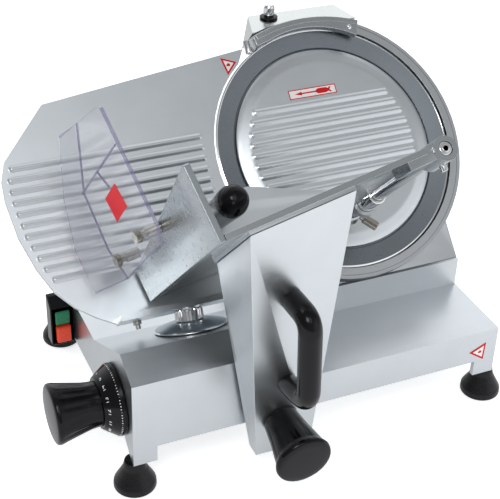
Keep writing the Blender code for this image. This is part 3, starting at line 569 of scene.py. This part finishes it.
def build_knobs():
    place = MACHINE @ shift(-50, -31.8, 66) @ turn(98, "X")
    knob = softened([(16.8, 0.6), (17.2, 4), (19.5, 20), (21.8, 31), (24, 42), (26.5, 47.5), (25.2, 51),
                     (20, 51.6), (0, 52)], 1.3)
    lathe("lock_knob_moulded", [(0, 0.6)] + knob, place, FINISH["black_plastic"], ("lock_knob",),
          sides=120, flutes=(12, 0.55, 6, 49))
    skin("switch_box", FINISH["black_plastic"], 1.6, 3)
    skin("start_button", FINISH["green_plastic"], 1.4, 3)
    skin("stop_button", FINISH["red_plastic"], 1.6, 3)


# ---- carriage ----
def build_carriage():
    skin("carriage_column", FINISH["cast_aluminium"], 1.3, 3)
    skin("meat_tray", TRAY_SHEET, 0.7, 2, 35, TRAY)
    skin("end_wall", WALL_SHEET, 0.8, 3, 35, TRAY)
    path = filleted([(-58, -24.6, 216), (-57.6, -89, 218.5), (-52.0, -84.5, 129.5), (-49.3, -24.5, 110.2)],
                    15)
    handle = piece("carriage_handle_bar", tube_mesh(path, 10.2, 40), MACHINE, FINISH["black_plastic"],
                   ("carriage_handle",), None, 50)
    handle.modifiers.new("smooth", "SUBSURF").levels = 1
    skin("slide_block", FINISH["zinc_steel"], 0.6, 1)
    rod = softened([(5.9, 10.2), (6, 11), (6, 233.9), (5.2, 234.6), (0, 234.6)], 0.3)
    lathe("pusher_rod_ground", rod, TRAY, FINISH["chrome"], ("pusher_rod",), None, 48, ROD_AXIS)
    skin("rod_set_screw", FINISH["chrome"], 0.3, 1)
    build_guard()


GUARD_SHEET = 3.6  # thickness of the clear sheet


def build_guard():
    """The clear sheet: a face at one X of the tray with a bent flange towards the column."""
    x = -22.0
    low_in, low_out = (x, 21, 27), (-51.5, 22, 13)
    mid_in, mid_out = (x, 54, 9), (-51.5, 65, 12)
    high_in, high_out = (x, 110, 15), (-41.3, 112.7, 14)
    top_in, top_out = (x, 156, 87), (-38.7, 152.8, 77.5)
    front = [(x, 147, 151), (x, 142, 166), (x, 35, 168), (x, 23, 157)]
    bm = bmesh.new()
    inner = [bm.verts.new(p) for p in (low_in, mid_in, high_in, top_in)]
    outer = [bm.verts.new(p) for p in (low_out, mid_out, high_out, top_out)]
    edge = [bm.verts.new(p) for p in front]
    bm.faces.new(inner + edge)
    for k in range(3):
        bm.faces.new((inner[k], outer[k], outer[k + 1], inner[k + 1]))
    bmesh.ops.recalc_face_normals(bm, faces=bm.faces)
    bm.faces.ensure_lookup_table()
    bmesh.ops.triangulate(bm, faces=bm.faces[1:])
    guard = piece("hand_guard_sheet", bm, TRAY, FINISH["clear_polycarbonate"], ("hand_guard",), None, 20,
                  (GUARD_EDGE,))
    thick = guard.modifiers.new("sheet", "SOLIDIFY")
    thick.thickness = GUARD_SHEET * MM
    thick.offset = 0
    thick.use_even_offset = True
    thick.material_offset_rim = 1
    bevelled(guard, 0.5, 2, 40)

    ridges = bmesh.new()
    for path in ((low_in, mid_in, high_in, top_in), ((x - 1.6, 110.5, 16), (x - 1.6, 110, 163)),
                 ((x - 1.6, 109.5, 87), (x - 1.6, 92, 99))):
        for start, end in zip(path, path[1:]):
            tube_mesh((start, end), 1.0, 10, ridges, (1, 0.2, 0.1))
    piece("hand_guard_ridges", ridges, TRAY, GUARD_EDGE, (), "carriage", 60)
    label = [(64, 79), (87.5, 77), (89, 119), (66.5, 123.5)]
    # lays the label's plane against the sheet: its X becomes the tray's Y, its Y the tray's -Z
    onto = TRAY @ shift(x - 2.1, 0, 0) @ Matrix(((0, 0, -1, 0), (1, 0, 0, 0), (0, -1, 0, 0), (0, 0, 0, 1)))
    flat = [(h, -out) for h, out in label]
    piece("guard_label", prism_mesh(flat, 0.0, 0.35), onto, LABEL_RED, (), "carriage")
    for name, height, out in (("front", 39.5, 123.5), ("rear", 38, 40)):
        place = TRAY @ shift(0, height, out) @ turn(-90, "Y")
        screw = f"guard_screw_{name}"
        head = [(2.0, 6.3), (5, 6.3), (5, 19.2), (3, 19.3), (3, 24.8), (5.2, 24.8), (6, 25.6), (6, 29.6),
                (5.2, 30.2), (2.0, 30.2)]
        knurled(f"{screw}_knurled", head, place, NICKEL, (screw,), 20, 0.5, (25.2, 29.9))
        core = [(0, 6.4), (2.3, 6.4), (2.3, 30.1), (0, 30.1)]
        lathe(f"{screw}_core", core, place, NICKEL, (), "carriage", 20)


def build_pusher():
    sleeve = softened([(6.3, 28), (8.2, 28), (8.8, 28.6), (8.8, 94.2), (8.0, 95), (6.3, 95)], 0.4)
    lathe("pusher_sleeve_turned", sleeve, TRAY, FINISH["chrome"], ("pusher_sleeve",), None, 64, ROD_AXIS)
    skin("pusher_plate", FINISH["cast_aluminium"], 1.0, 3, 35, TRAY)
    grip = softened([(4, 58.5), (4, 66.3), (11.2, 66.3), (12, 67.2), (12.5, 75), (13.2, 90), (14, 105),
                     (14.6, 116), (14.3, 123), (12.6, 129), (9.6, 133), (5.3, 135.4), (0, 136.3)], 1.2)
    lathe("pusher_grip_moulded", [(0, 58.5)] + grip, TRAY, FINISH["black_plastic"], ("pusher_grip",),
          centre=(64.5, 36.5))
    heading = math.degrees(math.atan2(-0.82, 0.57))
    place = TRAY @ shift(*ROD_AXIS, 35) @ turn(heading, "Z") @ turn(90, "Y")
    screw = [(0.4, 9.2), (3, 9.2), (3, 12.4), (4.6, 13), (4.6, 27.2), (4.0, 28), (0.4, 28)]
    knurled("pusher_screw_knurled", screw, place, NICKEL, ("pusher_screw",), 18, 0.45, (12.8, 27.6))


def build_sharpener():
    # the hood and its rim band wear the darker grey of painted shade
    skin("sharpener_hood", HOOD_PAINTED_SHADE, 0.8, 2, 35, BLADE_PLANE)
    outer, inner, centre = 160.4, 155.2, (0, -27.5)
    band = arc(outer, 69.3, 111.0, 24, centre) + arc(inner, 111.0, 69.3, 24, centre)
    rim = piece("hood_rim_band", prism_mesh(band, 12.6, 13.7), BLADE_PLANE, HOOD_PAINTED_SHADE, (), "base")
    bevelled(rim, 0.4)
    skin("sharpener_cover", FINISH["pale_cover"], 3.0, 4)
    screw = softened([(0, 3.4), (3.0, 3.4), (3.0, 5.2), (1.8, 6.6), (0, 6.9)], 0.5)
    lathe("hood_screw", screw, BLADE_PLANE @ shift(45.5, 117, 8), FINISH["chrome"], (), "base", 24)
    post = softened([(0, 107), (2.8, 107), (3.4, 108), (3.4, 120.8), (0, 120.8)], 0.4)
    lathe("sharpener_post_turned", post, BLADE_PLANE @ shift(-65.5, 0, 4.6) @ turn(-90, "X"),
          FINISH["chrome"], ("sharpener_post",), None, 28)
    place = MACHINE @ shift(72.3, 290.5, 308.65)
    knob = softened([(0, 2.1), (5.2, 2.1), (5.8, 5), (5.8, 12), (4.4, 14.4), (0, 15)], 0.5)
    lathe("sharpener_knob_turned", knob, place, FINISH["chrome"], ("sharpener_knob",), None, 40)
    washer = softened([(0, 0), (9.2, 0), (9.2, 2), (0, 2.1)], 0.5)
    lathe("sharpener_knob_washer", washer, place, FINISH["black_plastic"], (), "sharpener_lock", 40)


for build in (build_base, build_housing, build_blade, build_gauge, build_signs, build_dial, build_knobs,
              build_carriage, build_pusher, build_sharpener):
    build()

# the CAD nodes that still show are plain turned and sawn parts: each takes its slot's finish
SLOT_OF = {entry["node"]: entry["material_slot"] for entry in frame["record"]["subparts"]}
for node, obj in frame["nodes"].items():
    if not obj.hide_render:
        obj.data.materials.clear()
        obj.data.materials.append(FINISH[SLOT_OF[node]])


# ---- floor, light and camera ----
LIGHT_LOBES = (  # axis, degrees of the bright core, degrees where it ends, strength
    ((0, 0, 1), 179, 180, 0.42),  # the whole room
    ((0.2, 1.0, 0.35), 25, 75, 0.85),  # back wall
    ((-0.02, -0.62, 0.79), 5, 18, 1.6),  # soft box over the operator's side
    ((0.70, -0.68, 0.10), 12, 42, 0.7),  # low soft box at the right
    ((-1.0, -0.1, 0.2), 20, 60, -0.14),  # dim left wall
    ((0.15, 0.15, 1.0), 5, 30, -0.12),  # dim ceiling patch
)
FLOOR_GLOW = 0.66
FLOOR_IN_REFLECTIONS = 0.6  # share of the floor's glow that mirrors see
FLOOR_COLOUR, FLOOR_SHADE = 0.95, 0.45  # before the machine, and behind it as mirrors see it
FLOOR_FADE = (-0.3, 0.05)  # the Y between which one turns into the other
FLOOR_HALF = 6000


def world_light():
    """Soft studio light: an even room, a bright back wall, two soft boxes and two dimmer patches."""
    world = bpy.data.worlds.new("studio")
    bpy.context.scene.world = world
    world.use_nodes = True
    tree = world.node_tree
    background = tree.nodes["Background"]
    direction = tree.nodes.new("ShaderNodeTexCoord").outputs["Generated"]

    def lobe(axis, inner, outer, strength):
        """Brightness that fades from `strength` within `inner` degrees of the axis to none at `outer`."""
        dot = tree.nodes.new("ShaderNodeVectorMath")
        dot.operation = "DOT_PRODUCT"
        dot.inputs[1].default_value = Vector(axis).normalized()
        tree.links.new(direction, dot.inputs[0])
        ranged = tree.nodes.new("ShaderNodeMapRange")
        ranged.interpolation_type = "SMOOTHSTEP"
        ranged.inputs["From Min"].default_value = math.cos(math.radians(outer))
        ranged.inputs["From Max"].default_value = math.cos(math.radians(inner))
        ranged.inputs["To Max"].default_value = strength
        tree.links.new(dot.outputs["Value"], ranged.inputs["Value"])
        return ranged.outputs["Result"]

    total = None
    for axis, inner, outer, strength in LIGHT_LOBES:
        part = lobe(axis, inner, outer, strength)
        if total is None:
            total = part
            continue
        add = tree.nodes.new("ShaderNodeMath")
        tree.links.new(total, add.inputs[0])
        tree.links.new(part, add.inputs[1])
        total = add.outputs[0]
    # the camera sees plain white beyond the floor
    seen = tree.nodes.new("ShaderNodeMix")
    seen.inputs["B"].default_value = 1.0
    tree.links.new(tree.nodes.new("ShaderNodeLightPath").outputs["Is Camera Ray"], seen.inputs["Factor"])
    tree.links.new(total, seen.inputs["A"])
    tree.links.new(seen.outputs["Result"], background.inputs["Strength"])
    background.inputs["Color"].default_value = (0.965, 0.985, 1.0, 1)


def build_stage():
    floor = bmesh.new()
    edge = [(x * FLOOR_HALF, y * FLOOR_HALF) for x, y in ((-1, -1), (1, -1), (1, 1), (-1, 1))]
    floor.faces.new([floor.verts.new((x, y, -0.5)) for x, y in edge])
    bmesh.ops.scale(floor, vec=(MM, MM, MM), verts=floor.verts)
    mesh = bpy.data.meshes.new("studio_floor")
    floor.to_mesh(mesh)
    floor.free()
    made, tree, shader = nodes_of("studio_floor_white")
    shader.inputs["Roughness"].default_value = 0.9
    shader.inputs["Specular IOR Level"].default_value = 0.0
    shader.inputs["Emission Color"].default_value = (0.97, 0.985, 1.0, 1)
    # mirrors see a dimmer floor than the camera does, and a darker one behind the machine
    rays = tree.nodes.new("ShaderNodeLightPath")
    glow = tree.nodes.new("ShaderNodeMapRange")
    glow.inputs["To Min"].default_value = FLOOR_GLOW
    glow.inputs["To Max"].default_value = FLOOR_GLOW * FLOOR_IN_REFLECTIONS
    tree.links.new(rays.outputs["Is Glossy Ray"], glow.inputs["Value"])
    tree.links.new(glow.outputs["Result"], shader.inputs["Emission Strength"])
    axes = tree.nodes.new("ShaderNodeSeparateXYZ")
    tree.links.new(tree.nodes.new("ShaderNodeTexCoord").outputs["Object"], axes.inputs["Vector"])
    behind = tree.nodes.new("ShaderNodeMapRange")
    behind.interpolation_type = "SMOOTHSTEP"
    behind.inputs["From Min"].default_value, behind.inputs["From Max"].default_value = FLOOR_FADE
    tree.links.new(axes.outputs["Y"], behind.inputs["Value"])
    share = tree.nodes.new("ShaderNodeMath")
    share.operation = "MULTIPLY"
    tree.links.new(rays.outputs["Is Glossy Ray"], share.inputs[0])
    tree.links.new(behind.outputs["Result"], share.inputs[1])
    colour = tint(tree, share.outputs[0], (FLOOR_COLOUR,) * 3, (FLOOR_SHADE,) * 3)
    tree.links.new(colour, shader.inputs["Base Color"])
    mesh.materials.append(made)
    obj = bpy.data.objects.new("studio_floor", mesh)
    bpy.context.scene.collection.objects.link(obj)


def build_camera():
    data = bpy.data.cameras.new("camera")
    data.lens, data.sensor_width = 89.25, 36.0
    camera = bpy.data.objects.new("camera", data)
    bpy.context.scene.collection.objects.link(camera)
    camera.location = (-0.4305, -0.8942, 0.8091)
    camera.rotation_euler = [math.radians(a) for a in (56.8237, -1.6972, -23.4833)]
    data.clip_start, data.clip_end = 0.05, 30.0
    bpy.context.scene.camera = camera


def area_light(name, at, towards, size, power):
    data = bpy.data.lights.new(name, "AREA")
    data.shape, data.size, data.energy = "SQUARE", size, power
    made = bpy.data.objects.new(name, data)
    bpy.context.scene.collection.objects.link(made)
    made.location = at
    made.rotation_euler = (Vector(towards) - Vector(at)).to_track_quat("-Z", "Y").to_euler()


world_light()
build_stage()
area_light("key", (-1.2, -1.6, 2.4), (0, 0, 0.1), 1.0, 22)
build_camera()
bpy.context.scene.view_settings.view_transform = "Standard"
